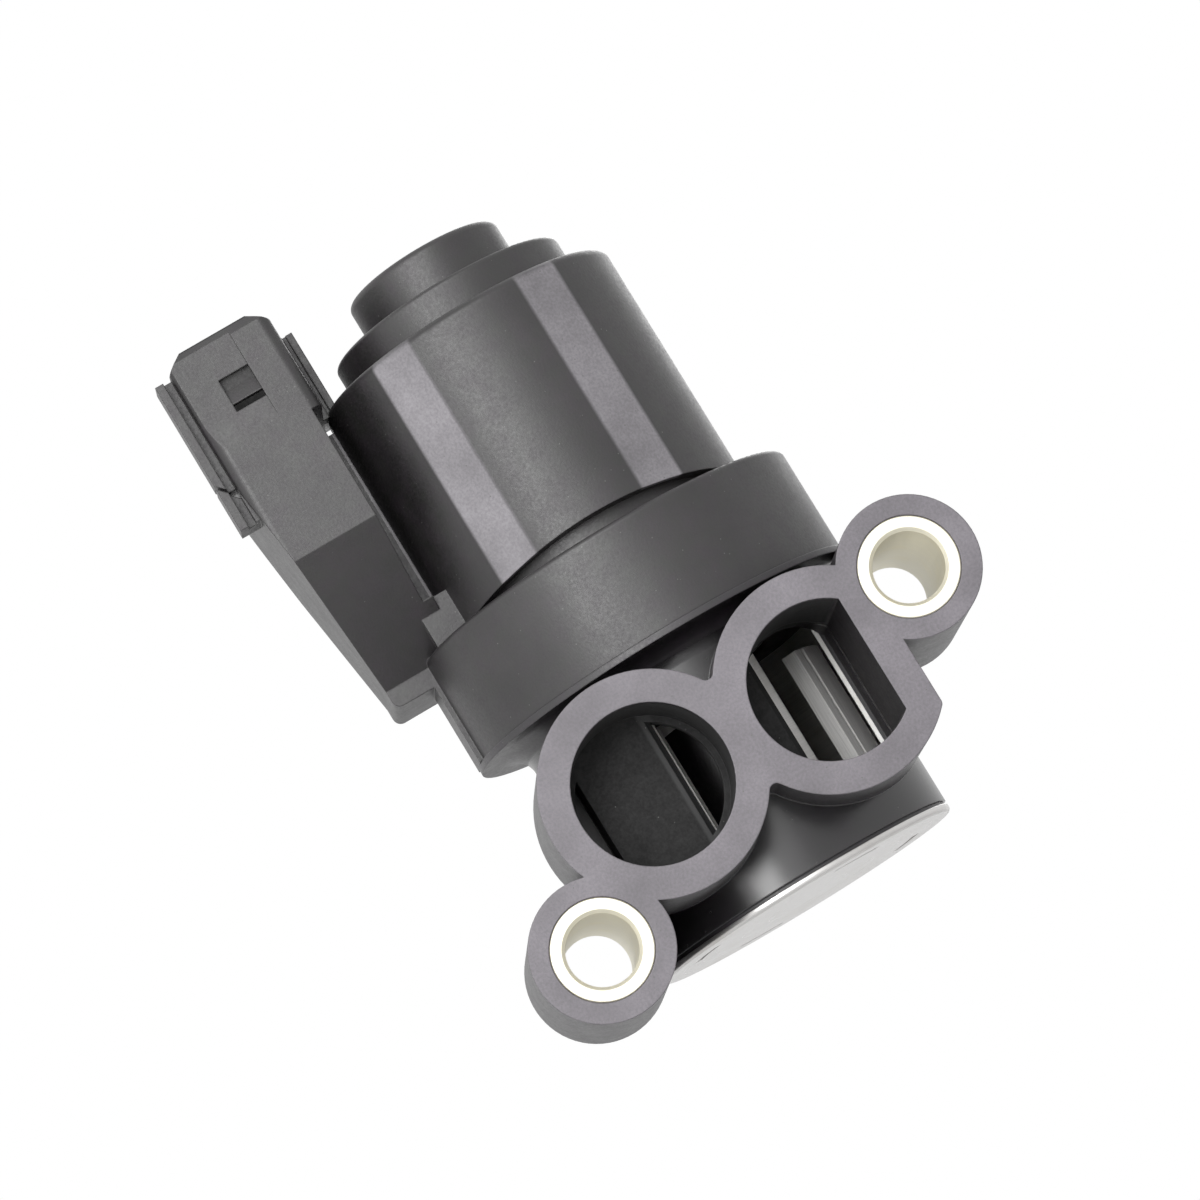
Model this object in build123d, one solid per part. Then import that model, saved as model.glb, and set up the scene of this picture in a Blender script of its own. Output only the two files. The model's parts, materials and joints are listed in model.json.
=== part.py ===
from build123d import *
import os
from math import asin, cos, degrees, pi, radians, sin, sqrt

# Idle air control valve, rotary type, in millimetres.
# +Z runs along the motor shaft, up to the motor's end and the connector's mouth.
# The mounting face is the plane y = 0 and faces -Y; the origin lies on it, midway between the ports.

# Clearances
seat = 0.03
air_gap = 0.30
ball_play = 0.06

# Motor axis, behind the mounting face
axis_y = 23.5

# Valve body
body_radius = 16.6
body_low = -14.5
rebate_depth = 0.5
rebate_height = 0.4
flare_radius = 2.6
lip_low = 11.9
lip_radius = 21.25
joint_z = 12.6
chamber_radius = 14.65
chamber_roof = 8.6
sleeve_wall = 0.5
sleeve_window_half = 8.1
sleeve_edge_1 = 0.3
sleeve_edge_2 = 0.95
sleeve_window_end = 80.0
roof_bore = 9.7
spigot_height = 4.8
spigot_wall = 3.0

# Mounting face: two ports and two bolt ears
port_offset = 9.76
port_radius = 7.85
port_wall = 3.2
port_floor = 8.2
port_2_depth = 20.0
window_1 = (-6.0, -1.0)
window_2_start = 5.3
window_bevel = 0.55
core_out_edge = -15.1
core_out_depth = 14.5
port_floor_step = 0.65
port_2_flat = 14.63
port_2_outer_flat = 17.9
tube_depth = 16.7
crease_round = 0.7
bush_outer = 5.0
bush_bore = 3.5
bush_length = 20.0
bush_lead = 0.35
bush_edge = 0.12
upper_bolt = (22.05, 5.35)
lower_bolt = (-22.0, -11.0)
ear_wall = 2.05

# End cap
cap_plate = 0.7
cap_spigot_height = 1.7
cap_spigot_wall = 2.2
cap_edge_round = 0.4
cap_slot_radius = 12.9
cap_slot_width = 0.9
cap_slot_span = 24.0
cap_slot_depth = 0.35
cap_slots = 4

# Round seals
cap_cord = 0.60
joint_cord = 0.84
joint_groove_z = 15.0

# Motor housing
collar_radius = 20.95
collar_wall = 2.32
collar_height = 11.4
collar_roof = 1.6
collar_round = 0.5
pad_thickness = 0.2
pad_width = 7.0
neck_depth = 2.0
neck_height = 2.3
neck_half_width = 17.5
neck_shoulder = 1.6
barrel_radius = 16.5
barrel_wall = 1.6
barrel_height = 24.5
barrel_roof = 1.6
barrel_round = 0.9
flat_count = 6
flat_half_angle = 8.7
flat_turn = -3.0
step_radius = 12.9
step_height = 3.7
step_round = 0.5
nose_radius = 8.55
nose_height = 4.95
nose_roof = 2.15
nose_round = 0.8

# Heights of the housing's steps
collar_top = joint_z + collar_height
barrel_low = collar_top + neck_height
barrel_top = barrel_low + barrel_height
step_top = barrel_top + step_height
nose_top = step_top + nose_height
neck_radius = barrel_radius - neck_depth
barrel_bore = barrel_radius - barrel_wall

# Connector, standing beside the motor with its mouth up
shell_left = -28.3
shell_right = -16.9
shell_front = 11.5
shell_length = 23.0
shell_low = 37.7
shell_top = 60.2
shell_round = 1.2
mouth_lip = 1.4
mouth_bevel = 1.1
mouth_corner = 2.0
mouth_corner_height = 1.6
shell_wall = 1.35
socket_floor = 42.0
window_left = -24.4
window_right = -21.1
window_low = 53.5
window_high = 57.1
window_recess = 0.95
ramp_low = 54.3
ramp_high = 55.9
face_step = 0.30
face_step_low = 50.9
rail_reach = 1.75
rail_thickness = 0.9
rail_front = 12.6
rail_depth = 4.0
rail_groove = 1.2
rail_low = 47.3
rail_high = 59.8
rail_cut = 1.1
catch_low = 43.2
catch_gap = 0.4
key_depth = 1.85
key_width = 6.0
key_low = 50.0
key_high = 59.4
key_groove = 0.4
waist_top = 50.0
waist_depth = 1.1
arm_low = 23.3
arm_front = 20.0
arm_left = -25.5
arm_foot = 2.0
web_half_width = 1.5
duct_half_width = 5.9
duct_top = 28.8

# Terminals
terminal_count = 3
terminal_pitch = 4.0
terminal_width = 1.5
terminal_thickness = 0.8
terminal_top = 54.5
terminal_bend_z = 27.2
terminal_x = -23.0
terminal_inner_x = -13.6
terminal_point = 0.8

# Bearings: bore, outside and width of each
lower_bearing_bore = 2.5
lower_bearing_outer = 8.0
lower_bearing_width = 5.0
upper_bearing_bore = 2.0
upper_bearing_outer = 6.5
upper_bearing_width = 5.0
washer_height = 1.0
washer_wall = 0.6
washer_rise = 0.3
lower_bearing_z = joint_z
upper_bearing_z = nose_top - nose_roof - washer_height - upper_bearing_width
ring_share = 0.27
ball_count = 8
cage_height = 1.0
cage_half = 0.3

# Bearing plate and shaft seal
plate_play = 0.63
plate_thickness = 1.8
plate_radius = collar_radius - collar_wall - plate_play
boss_depth = 3.6
boss_low = joint_z - boss_depth
boss_radius = roof_bore - 0.1
boss_lip = 3.3
seal_height = 2.4
seal_outer = 6.4
seal_wall = 1.0
seal_lip_play = 0.05
clip_height = 0.8
clip_bore = 6.6
clip_gap = 3.0

# Stator
flux_low = barrel_low + 2.7
flux_wall = 1.45
magnet_radius = 6.0
magnet_low = barrel_low + 5.7
magnet_height = 14.0
pole_gap = 0.5
shoe_depth = 1.4
shoe_half_angle = 42.0
core_half_width = 2.8
core_half_height = 5.4
bobbin_wall = 0.5
bobbin_flange = 0.5
bobbin_gap = 0.5
bobbin_half_width = 5.9
bobbin_half_height = 9.0
winding_inset = 0.5

# Rotor
shaft_end = 1.0
shaft_spare = 0.3
shaft_top = upper_bearing_z + upper_bearing_width - shaft_spare
shaft_chamfer = 0.4
magnet_stop_height = 1.5
magnet_stop_radius = 4.0

# Rotary slide
slide_play = 0.27
slide_radius = chamber_radius - seat - sleeve_wall - slide_play
slide_wall = 1.8
slide_low = -12.2
slide_top = 5.6
slide_web = 1.4
slide_disc_radius = 7.0
hub_radius = 4.2
hub_flange = 5.4
left_sector = (-112.0, -25.0)
right_sector = (48.8, 104.0)
groove_angle = 55.0
shaft_low = slide_low - shaft_end
groove_width = 0.45
groove_depth = 0.3
slide_clip_height = 0.6
slide_clip_radius = 3.6

# Travel stops
turn_left = 20.0
turn_right = 40.0
lever_drop = 1.2
lever_thickness = 1.5
lever_z = collar_top - collar_roof - lever_drop
lever_length = 11.0
lever_half_width = 1.6
lever_hub = 4.2
pin_radius = 1.0
pin_wall = 1.6
pin_top = lever_z + lever_thickness + 0.7


def post(radius, low, high, x=0.0, y=axis_y):
    """A cylinder along Z between two heights, on the motor axis unless placed elsewhere."""
    return Pos(x, y, low) * Cylinder(radius, high - low, align=(Align.CENTER, Align.CENTER, Align.MIN))


def ring(outer, inner, low, high):
    """A plain ring about the motor axis."""
    return post(outer, low, high) - post(inner, low - 1, high + 1)


def block(x0, x1, y0, y1, z0, z1):
    """A box between two corners."""
    return Pos(x0, y0, z0) * Box(x1 - x0, y1 - y0, z1 - z0, align=(Align.MIN, Align.MIN, Align.MIN))


def along_x(face, start, length):
    """Extrudes an outline given in y and z along the x axis."""
    return Pos(start, 0, 0) * extrude(Plane.YZ * face, amount=length, dir=(1, 0, 0))


def along_y(face, start, length):
    """Extrudes an outline given in x and z along the y axis."""
    return Pos(0, start, 0) * extrude(Plane.XZ * face, amount=length, dir=(0, 1, 0))


def soften(face, radius, *corners):
    """Rounds the corners of a flat outline that lie nearest the given points."""
    chosen = [face.vertices().sort_by_distance(Vector(*corner, 0))[0] for corner in corners]
    return fillet(chosen, radius)


def turned(face):
    """Turns a radius-height outline about the motor axis."""
    return Pos(0, axis_y, 0) * revolve(Plane.XZ * face, Axis.Z)


def outline(*points):
    """A closed straight-sided outline."""
    return make_face(Polyline(*points, close=True))


def backward(face, depth, start=0.0):
    """Pushes an outline drawn on the mounting face back from the plane y = start."""
    return Pos(0, start, 0) * extrude(Plane.XZ * face, amount=depth, dir=(0, 1, 0))


def at_angle(angle, radius):
    """The x and y of a point about the motor axis, with 0 degrees towards the mounting face."""
    return radius * sin(radians(angle)), axis_y - radius * cos(radians(angle))


def wedge(first, last, radius, low, high):
    """A pie-shaped sector about the motor axis between two angles."""
    middle = (first + last) / 2
    reach = 1.5 * radius
    corners = [at_angle(first, reach), at_angle(middle, reach), at_angle(last, reach)]
    pie = make_face(Polyline((0, axis_y), *corners, close=True))
    return Pos(0, 0, low) * extrude(pie, amount=high - low, dir=(0, 0, 1))


def seal_ring(bore, cord_radius, z):
    """An O-ring about the motor axis that fills a bore."""
    return Pos(0, axis_y, z) * Torus(bore - seat - cord_radius, cord_radius)


def beyond_x(x, side):
    """Everything on the mounting face to one side of x: Align.MIN for the right, Align.MAX for the left."""
    return Pos(x, 0) * Rectangle(3 * port_radius, 5 * port_radius, align=(side, Align.CENTER))


def port_1_outline(inset=0.0):
    """The round port's mouth, or the narrower outline of what lies below its floor."""
    return Pos(-port_offset, 0) * Circle(port_radius - inset)


def port_1_hollow():
    """The round port: a shallow round pocket, a window into the chamber and a core-out beside it."""
    far = beyond_x(core_out_edge, Align.MAX)
    inner = port_1_outline(port_floor_step)
    hollow = backward(port_1_outline(), port_floor + 1, -1)
    hollow += backward(inner & far, core_out_depth + 1, -1)
    left, right = window_1
    opening = Pos((left + right) / 2, 0) * Rectangle(right - left, 2 * port_radius)
    hollow += backward(inner & opening, axis_y)
    return hollow + window_edge(left, inner)


def port_2_hollow():
    """The second port: a pocket with a wide window that reaches its flat side."""
    near = beyond_x(window_2_start, Align.MIN)
    hollow = backward(port_2_outline(), port_floor + 1, -1)
    hollow += backward(port_2_outline() & near, port_2_depth + 1, -1)
    return hollow + window_edge(window_2_start, port_2_outline())


def window_edge(x, mouth):
    """The bevel along a window's left edge, kept inside the port's round mouth."""
    high = port_floor - 0.01
    side = outline((x - window_bevel, high), (x + 0.5, high),
                   (x + 0.5, port_floor + window_bevel), (x, port_floor + window_bevel))
    bevel = Pos(0, 0, -port_radius) * extrude(side, amount=2 * port_radius, dir=(0, 0, 1))
    return bevel & backward(mouth, axis_y)


def port_2_outline():
    """The second port's mouth, cut flat on its outer side."""
    return Pos(port_offset, 0) * Circle(port_radius) - beyond_x(port_2_flat, Align.MIN)


def tube_outline():
    """The outline of the two port walls, one flattened on its outer side."""
    wall = port_radius + port_wall
    beyond = beyond_x(port_2_outer_flat, Align.MIN)
    crease = sqrt(wall ** 2 - port_offset ** 2)
    face = Pos(-port_offset, 0) * Circle(wall) + (Pos(port_offset, 0) * Circle(wall) - beyond)
    face = soften(face, crease_round, (0, crease), (0, -crease))
    drop = sqrt(wall ** 2 - (port_2_outer_flat - port_offset) ** 2)
    return soften(face, crease_round, (port_2_outer_flat, -drop))


def ear_outline():
    """The outline of the two bolt ears."""
    ear = bush_outer + ear_wall
    return Pos(*upper_bolt) * Circle(ear) + Pos(*lower_bolt) * Circle(ear)


def valve_body():
    """The moulded valve body with its ports, ears, slide chamber and spigot."""
    rebate = body_radius - rebate_depth
    rebate_top = body_low + rebate_height
    flare_low = lip_low - flare_radius
    flare_out = body_radius + flare_radius
    spigot_radius = collar_radius - collar_wall - seat
    spigot_top = joint_z + spigot_height
    spigot_bore = spigot_radius - spigot_wall
    below = Polyline((0, body_low), (rebate, body_low), (rebate, rebate_top),
                     (body_radius, rebate_top), (body_radius, flare_low))
    flare = CenterArc((flare_out, flare_low), flare_radius, 180, -90)
    above = Polyline((flare_out, lip_low), (lip_radius, lip_low), (lip_radius, joint_z),
                     (spigot_radius, joint_z), (spigot_radius, spigot_top), (spigot_bore, spigot_top),
                     (spigot_bore, joint_z), (0, joint_z), (0, body_low))
    body = turned(make_face(below + flare + above))
    body += backward(tube_outline(), tube_depth)
    body += backward(ear_outline(), bush_length)
    body -= post(chamber_radius, body_low - 1, chamber_roof)
    body -= post(roof_bore, chamber_roof - 1, joint_z + 1)
    body -= port_1_hollow()
    body -= port_2_hollow()
    body -= post(body_radius + air_gap, body_low - 10, body_low)
    for x, z in (upper_bolt, lower_bolt):
        body -= backward(Pos(x, z) * Circle(bush_outer + seat), bush_length + 2, -1)
    groove_in = spigot_radius - 2 * joint_cord - seat
    groove_half = joint_cord + 0.1
    body -= ring(spigot_radius + 1, groove_in, joint_groove_z - groove_half, joint_groove_z + groove_half)
    return body


def sleeve_angle(x):
    """The angle at which the sleeve's outside passes x, seen from the mounting face."""
    return degrees(asin(x / (chamber_radius - seat)))


def chamber_sleeve():
    """The metal sleeve that lines the slide chamber; each window's left edge stands a little proud."""
    outer = chamber_radius - seat
    low = body_low + cap_spigot_height + seat
    sleeve = ring(outer, outer - sleeve_wall, low, chamber_roof - seat)
    first = sleeve_angle(window_1[0] + sleeve_edge_1), sleeve_angle(window_1[1])
    second = sleeve_angle(window_2_start + sleeve_edge_2), sleeve_window_end
    for start, end in (first, second):
        sleeve -= wedge(start, end, outer, -sleeve_window_half, sleeve_window_half)
    return sleeve


def bolt_bush(place):
    """A metal bush pressed into an ear, chamfered at both ends."""
    x, z = place
    tube = Cylinder(bush_outer, bush_length) - Cylinder(bush_bore, bush_length + 2)
    tube = chamfer(tube.edges().filter_by(GeomType.CIRCLE).sort_by(SortBy.RADIUS)[0:2], bush_lead)
    tube = chamfer(tube.edges().filter_by(GeomType.CIRCLE).sort_by(SortBy.RADIUS)[-2:], bush_edge)
    return Pos(x, bush_length / 2, z) * Rot(90, 0, 0) * tube


def end_cap():
    """The cap that closes the slide chamber, with shallow slots in its outer face."""
    low = body_low - cap_plate
    high = body_low + cap_spigot_height
    spigot = chamber_radius - seat
    inner = spigot - cap_spigot_wall
    face = outline((0, low), (body_radius, low), (body_radius, body_low), (spigot, body_low),
                   (spigot, high), (inner, high), (inner, body_low), (0, body_low))
    face = soften(face, cap_edge_round, (body_radius, low))
    cap = turned(face)
    groove_z = body_low + cap_spigot_height / 2
    groove_half = cap_cord + 0.05
    cap -= ring(spigot + 1, spigot - 2 * cap_cord - seat, groove_z - groove_half, groove_z + groove_half)
    half = cap_slot_width / 2
    band = ring(cap_slot_radius + half, cap_slot_radius - half, low - 1, low + cap_slot_depth)
    for index in range(cap_slots):
        middle = 21.0 + index * 360.0 / cap_slots
        ends = middle - cap_slot_span / 2, middle + cap_slot_span / 2
        cap -= band & wedge(*ends, body_radius, low - 1, low + 1)
    return cap


def connector_shell():
    """The connector's outer form with its keys, catch, arm and base, before its hollows are cut."""
    width = shell_right - shell_left
    middle_x = (shell_left + shell_right) / 2
    middle_y = shell_front + shell_length / 2
    plan = Pos(middle_x, middle_y) * RectangleRounded(width, shell_length, shell_round)
    top = shell_top + mouth_lip
    back = shell_front + shell_length
    shell = Pos(0, 0, shell_low) * extrude(plan, amount=top - shell_low, dir=(0, 0, 1))
    shell = chamfer(shell.faces().sort_by(Axis.Z)[-1].edges(), mouth_bevel)
    corner_low = top - mouth_corner_height
    for x, inward in ((shell_left, 1), (shell_right, -1)):
        inside = x + inward * mouth_corner
        corner = outline((x - inward, top + 1), (x - inward, corner_low), (x, corner_low), (inside, top),
                         (inside, top + 1))
        shell -= along_y(corner, shell_front - 1, shell_length + 2)
    side = outline((shell_front, shell_low), (arm_front, arm_low), (back - 3, arm_low), (back, shell_low))
    arm = Pos(shell_left, 0, 0) * extrude(Plane.YZ * side, amount=width, dir=(1, 0, 0))
    outside = shell_left - 1
    taper = outline((outside, rail_low), (shell_left, rail_low), (arm_left, arm_low), (outside, arm_low))
    foot = block(arm_left, shell_right, arm_front, back - 3, arm_low - arm_foot, arm_low)
    foot = fillet(foot.edges().filter_by(Axis.Y).sort_by(Axis.Z)[0:2], 0.9)
    shell = shell + arm - along_y(taper, shell_front - 1, shell_length + 2) + foot
    waist = shell_right - waist_depth
    shell -= block(waist, shell_right + 1, shell_front - 1, back + 1, duct_top, waist_top)
    shell += side_key(middle_y)
    shell += guide_rail(rail_low, rail_high) + catch()
    shell += motor_web(web_half_width, barrel_top - 2) + motor_web(duct_half_width, duct_top)
    return shell


def motor_web(half_width, top):
    """A web from the connector into the motor's side, centred on the motor axis."""
    inner = -barrel_bore - 0.5
    return block(shell_right - waist_depth - 1, inner, axis_y - half_width, axis_y + half_width, collar_top - 1, top)


def side_key(middle_y):
    """The key on the connector's motor side, with a groove along its front."""
    front = middle_y - key_width / 2
    right = shell_right + key_depth
    key = block(shell_right - 1, right, front, front + key_width, key_low, key_high)
    groove_left = shell_right + (key_depth - key_groove) / 2
    groove_right = groove_left + key_groove
    return key - block(groove_left, groove_right, front - 1, front + key_groove, key_low, key_high + 1)


def rail_slant(low):
    """What lies below the slanting cut through the rail, which starts at a height on its outer side."""
    out = shell_left - rail_reach
    reach = rail_reach + 2
    below = catch_low - 1
    face = outline((out - 1, below), (out + reach, below), (out + reach, low + rail_cut - reach),
                   (out - 1, low + rail_cut + 1))
    return along_y(face, rail_front - 1, rail_depth + 2)


def rail_bar(low, high):
    """A plain stretch of the rail on the connector's outer side, with a groove along its front."""
    out = shell_left - rail_reach
    back = rail_front + rail_depth
    groove_back = rail_front + rail_groove
    bar = block(out, shell_left + 1, rail_front, back, low, high)
    return bar - block(out + rail_thickness, shell_left, rail_front - 1, groove_back, low - 1, high + 1)


def guide_rail(low, high):
    """The rail that guides the plug, cut slanting at its lower end."""
    return rail_bar(low, high) - rail_slant(low)


def catch():
    """The plug's catch, a short piece of the same rail just below it, cut to the same slant."""
    return rail_bar(catch_low, rail_low + rail_cut) & rail_slant(rail_low - catch_gap)


def terminal(index):
    """One flat terminal: a blade in the socket, bent inwards to the windings."""
    y = axis_y + (index - (terminal_count - 1) / 2) * terminal_pitch
    half = terminal_thickness / 2
    bar = outline((terminal_x - half, terminal_bend_z - half), (terminal_inner_x, terminal_bend_z - half),
                  (terminal_inner_x, terminal_bend_z + half), (terminal_x + half, terminal_bend_z + half),
                  (terminal_x + half, terminal_top - terminal_point), (terminal_x, terminal_top),
                  (terminal_x - half, terminal_top - terminal_point))
    return Pos(0, y - terminal_width / 2, 0) * extrude(Plane.XZ * bar, amount=terminal_width, dir=(0, 1, 0))


def neck_grooves():
    """The grooves under the barrel at the front and the back, which die out towards the sides."""
    arc = ThreePointArc((-neck_half_width, collar_top), (0, barrel_low), (neck_half_width, collar_top))
    lens = make_face(Curve() + [arc, Line((-neck_half_width, collar_top), (neck_half_width, collar_top))])
    across = along_y(lens, axis_y - barrel_radius - 1, 2 * barrel_radius + 2)
    return ring(barrel_radius + 1, neck_radius, collar_top, barrel_low + 1) & across


def motor_housing():
    """The moulded motor housing: collar, faceted barrel, stepped nose and connector in one piece."""
    outer = outline((0, joint_z), (collar_radius, joint_z), (collar_radius, collar_top),
                    (barrel_radius, collar_top), (barrel_radius, barrel_top),
                    (step_radius, barrel_top), (step_radius, step_top), (nose_radius, step_top),
                    (nose_radius, nose_top), (0, nose_top))
    outer = soften(outer, collar_round, (collar_radius, collar_top))
    outer = soften(outer, barrel_round, (barrel_radius, barrel_top))
    outer = soften(outer, step_round, (step_radius, step_top))
    outer = soften(outer, nose_round, (nose_radius, nose_top))
    housing = turned(outer)
    flat_distance = barrel_radius * cos(radians(flat_half_angle))
    for index in range(flat_count):
        angle = flat_turn + 30.0 + index * 360.0 / flat_count
        cutter = block(-6, 6, -barrel_radius - 3, -flat_distance, collar_top, barrel_top + 1)
        housing -= Pos(0, axis_y, 0) * Rot(0, 0, angle) * cutter
    housing -= neck_grooves()
    pad_front = axis_y - pad_width / 2
    pad = block(-collar_radius - pad_thickness, -collar_radius + 2, pad_front, pad_front + pad_width,
                joint_z, collar_top - collar_round)
    housing += pad
    housing += connector_shell()
    inside = collar_radius - collar_wall
    bearing_seat = upper_bearing_outer + seat
    neck_bore = neck_radius - barrel_wall
    shoulder = barrel_low + neck_shoulder
    hollow = outline((0, joint_z - 1), (inside, joint_z - 1), (inside, collar_top - collar_roof),
                     (neck_bore, collar_top - collar_roof), (neck_bore, shoulder),
                     (barrel_bore, shoulder), (barrel_bore, barrel_top - barrel_roof),
                     (bearing_seat, barrel_top - barrel_roof), (bearing_seat, nose_top - nose_roof),
                     (0, nose_top - nose_roof))
    housing -= turned(hollow)
    middle_x = (shell_left + shell_right) / 2
    middle_y = shell_front + shell_length / 2
    mouth_width = shell_right - shell_left - 2 * shell_wall
    mouth_length = shell_length - 2 * shell_wall
    mouth = Pos(middle_x, middle_y) * RectangleRounded(mouth_width, mouth_length, 0.65 * shell_round)
    mouth_height = shell_top + mouth_lip + 1 - socket_floor
    socket = Pos(0, 0, socket_floor) * extrude(mouth, amount=mouth_height, dir=(0, 0, 1))
    ledge_left = shell_right - shell_wall - waist_depth
    back = shell_front + shell_length
    socket -= block(ledge_left, shell_right, shell_front, back, socket_floor, waist_top)
    housing -= socket
    ledge = shell_front + face_step
    above = shell_top + mouth_lip + 1
    lead_in = outline((shell_front - 1, face_step_low), (shell_front, face_step_low), (ledge, window_low),
                      (ledge, above), (shell_front - 1, above))
    step_width = window_right - shell_left + shell_round
    outside = shell_front - 1
    recess = shell_front + window_recess
    inside = shell_front + shell_wall + 1
    housing -= along_x(lead_in, window_right - step_width, step_width)
    housing -= block(window_left, window_right, outside, recess, window_low, window_high)
    housing -= block(window_left, window_right, outside, inside, window_low, ramp_low)
    ramp_side = outline((shell_front + window_recess, ramp_low), (shell_front + face_step, ramp_low),
                        (shell_front + window_recess, ramp_high))
    housing += along_x(ramp_side, window_left, window_right - window_left)
    for index in range(terminal_count):
        housing -= terminal(index)
    return housing


def bearing_plate():
    """The plate that carries the lower bearing, the shaft seal and the stop pins."""
    low = joint_z + spigot_height + seat
    high = low + plate_thickness
    pocket = lower_bearing_outer + seat
    seal_seat = seal_outer + seat
    face = outline((boss_lip, boss_low), (boss_radius, boss_low), (boss_radius, low), (plate_radius, low),
                   (plate_radius, high), (pocket, high), (pocket, lower_bearing_z),
                   (seal_seat, lower_bearing_z),
                   (seal_seat, lower_bearing_z - seal_height), (boss_lip, lower_bearing_z - seal_height))
    plate = turned(face)
    for angle in stop_pin_angles():
        x, y = at_angle(angle, pin_place())
        plate -= post(pin_radius + seat, low - 1, high + 1, x, y)
    return plate


def pin_place():
    """The radius of the stop pins' circle, clear of the lower bearing's pocket."""
    return lower_bearing_outer + seat + pin_radius + pin_wall


def stop_pin_angles():
    """The angles of the two stop pins: where the lever's side arrives at each end of travel."""
    reach = degrees(asin((lever_half_width + pin_radius + air_gap) / pin_place()))
    return -turn_left - reach, turn_right + reach


def stop_pin(angle):
    """One stop pin, standing in the bearing plate."""
    x, y = at_angle(angle, pin_place())
    return post(pin_radius, joint_z + spigot_height + seat, pin_top, x, y)


def stop_lever():
    """The lever on the shaft that meets the stop pins."""
    top = lever_z + lever_thickness
    arm = block(-lever_half_width, lever_half_width, axis_y - lever_length, axis_y, lever_z, top)
    arm = fillet(arm.edges().filter_by(Axis.Z).sort_by(Axis.Y)[0:2], 1.0)
    return arm + post(lever_hub, lever_z, top) - post(lower_bearing_bore + seat, lever_z - 1, top + 1)


def shaft_seal():
    """The lip seal under the lower bearing."""
    low = lower_bearing_z - seal_height + seat
    lip = lower_bearing_bore + seal_lip_play
    high = lower_bearing_z - seat
    inner = seal_outer - seal_wall
    face = outline((seal_outer, low), (seal_outer, high), (inner, high), (inner, low + seal_wall),
                   (lip + 1.2 * seal_wall, low + seal_wall), (lip, low + 1.9 * seal_wall),
                   (lip, low + 1.2 * seal_wall), (lip + 0.6 * seal_wall, low))
    return turned(face)


def bearing_rings(bore, outer, width, z):
    """The outer ring, ball set with cage, and inner ring of a bearing."""
    wall = (outer - bore) * ring_share
    inner_land = bore + wall
    outer_land = outer - wall
    pitch = (inner_land + outer_land) / 2
    ball = (outer_land - inner_land) / 2 - ball_play
    middle = z + width / 2
    outer_ring = ring(outer, outer_land, z, z + width)
    inner_ring = ring(inner_land, bore + seat, z, z + width)
    balls = ring(pitch + cage_half, pitch - cage_half, middle - cage_height / 2, middle + cage_height / 2)
    for index in range(ball_count):
        turn = Rot(0, 0, index * 360.0 / ball_count)
        balls += Pos(0, axis_y, middle) * turn * Pos(pitch, 0, 0) * Sphere(ball)
    return outer_ring, balls, inner_ring


def bearing_clip():
    """The snap ring over the lower bearing."""
    low = lower_bearing_z + lower_bearing_width
    clip = ring(lower_bearing_outer, clip_bore, low + seat, low + clip_height)
    half = clip_gap / 2
    return clip - block(-half, half, axis_y - 2 * clip_bore, axis_y, low - 1, low + 2 * clip_height)


def wave_washer():
    """The washer that presses on the upper bearing."""
    low = upper_bearing_z + upper_bearing_width + seat
    high = low + washer_height - 2 * seat
    outer = upper_bearing_outer - air_gap
    inner = outer - 4.5 * washer_wall
    face = outline((inner, low), (inner + washer_wall, low), (outer, high - washer_rise), (outer, high),
                   (outer - washer_wall, high))
    return turned(face)


def flux_ring():
    """The soft iron ring round the windings."""
    outer = barrel_bore - seat
    return ring(outer, outer - flux_wall, flux_low, barrel_top - barrel_roof - seat)


def pole_core():
    """One iron core along +X: a curved pole face, a shoe and a neck that reaches the flux ring."""
    middle = magnet_low + magnet_height / 2
    face_radius = magnet_radius + pole_gap
    outer = barrel_bore - flux_wall - 2 * seat
    low = middle - core_half_height
    high = middle + core_half_height
    neck = block(face_radius, outer + 1, axis_y - core_half_width, axis_y + core_half_width, low, high)
    neck &= post(outer, low - 1, high + 1)
    shoe = ring(face_radius + shoe_depth, face_radius, low, high)
    shoe &= wedge(90 - shoe_half_angle, 90 + shoe_half_angle, barrel_radius, low - 1, high + 1)
    return neck + shoe - post(face_radius, low - 1, high + 1)


def bobbin_start():
    """Where the bobbin begins along X, just outside the pole shoe."""
    return magnet_radius + pole_gap + shoe_depth + seat


def bobbin_end():
    """Where the bobbin ends along X, with its flange's corners clear of the flux ring."""
    reach = barrel_bore - seat - flux_wall - bobbin_gap
    return sqrt(reach ** 2 - bobbin_half_width ** 2)


def coil_tube(x0, x1, half_width, half_height, round_radius):
    """A block with rounded long edges, centred on the neck of the core."""
    middle = magnet_low + magnet_height / 2
    plan = RectangleRounded(2 * half_width, 2 * half_height, round_radius)
    return Pos(x0, axis_y, middle) * extrude(Plane.YZ * plan, amount=x1 - x0, dir=(1, 0, 0))


def bobbin():
    """One bobbin along +X with two flanges."""
    middle = magnet_low + magnet_height / 2
    start = bobbin_start()
    end = bobbin_end()
    inner = block(start - 1, end + 1, axis_y - core_half_width - seat, axis_y + core_half_width + seat,
                  middle - core_half_height - seat, middle + core_half_height + seat)
    barrel = coil_tube(start, end, core_half_width + bobbin_wall, core_half_height + bobbin_wall, 0.6)
    for x in (start, end - bobbin_flange):
        barrel += coil_tube(x, x + bobbin_flange, bobbin_half_width, bobbin_half_height, 1.0)
    return barrel - inner


def winding():
    """One winding along +X, filling the bobbin between its flanges."""
    start = bobbin_start() + bobbin_flange + seat
    end = bobbin_end() - bobbin_flange - seat
    spare = bobbin_wall + seat
    hole = coil_tube(start - 1, end + 1, core_half_width + spare, core_half_height + spare, 0.6)
    half_width = bobbin_half_width - winding_inset
    half_height = bobbin_half_height - winding_inset
    return coil_tube(start, end, half_width, half_height, 1.6) - hole


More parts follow.
